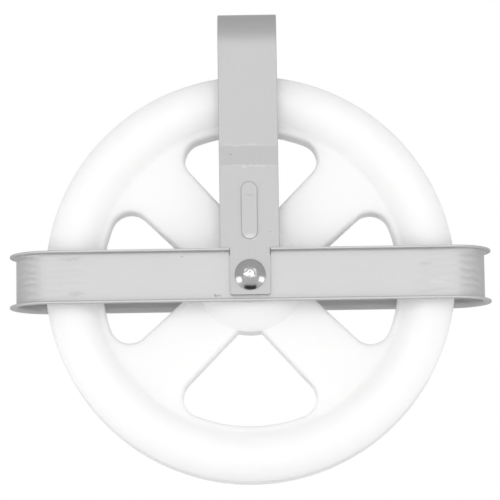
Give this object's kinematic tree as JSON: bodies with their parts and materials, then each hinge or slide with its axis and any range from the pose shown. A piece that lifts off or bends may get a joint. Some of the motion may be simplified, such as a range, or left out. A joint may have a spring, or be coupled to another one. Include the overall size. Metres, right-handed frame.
{
  "type": "wire rope sheave",
  "caption": "White moulded plastic rope sheave with open spokes, turning on an axle in a flanged steel guard band, hung by a steel strap that arches over its rim.",
  "frame": {"origin": "on the axle's line, midway between the two legs of the guard band, at the centre of the wheel", "axes": "+Z from the axle up to the arch that it hangs by, +X along the guard band, +Y along the axle towards the rear head, so the capped front faces -Y"},
  "size_m": [0.2074, 0.0377, 0.2043],
  "materials": {
    "wheel_plastic": "smooth satin white polyethylene, a little translucent",
    "sleeve_steel": "plain drawn steel tube",
    "axle_steel": "zinc-plated steel, staked end left bright",
    "polished_steel": "polished domed steel",
    "galvanised_band": "galvanised strip, satin, with bending marks near its ends",
    "galvanised_strap": "galvanised strip, satin, with a fine lengthwise grain"
  },
  "bodies": {
    "frame": {"guard_band": "galvanised_band", "hanger_strap": "galvanised_strap", "axle_rivet": "axle_steel", "axle_sleeve": "sleeve_steel", "front_cap": "polished_steel"},
    "wheel": {"sheave_wheel": "wheel_plastic"}
  },
  "joints": [
    {"name": "wheel_spin", "type": "hinge", "parent": "frame", "child": "wheel", "pos_m": [0, 0, 0], "axis": [0, 1, 0], "continuous": true}
  ]
}
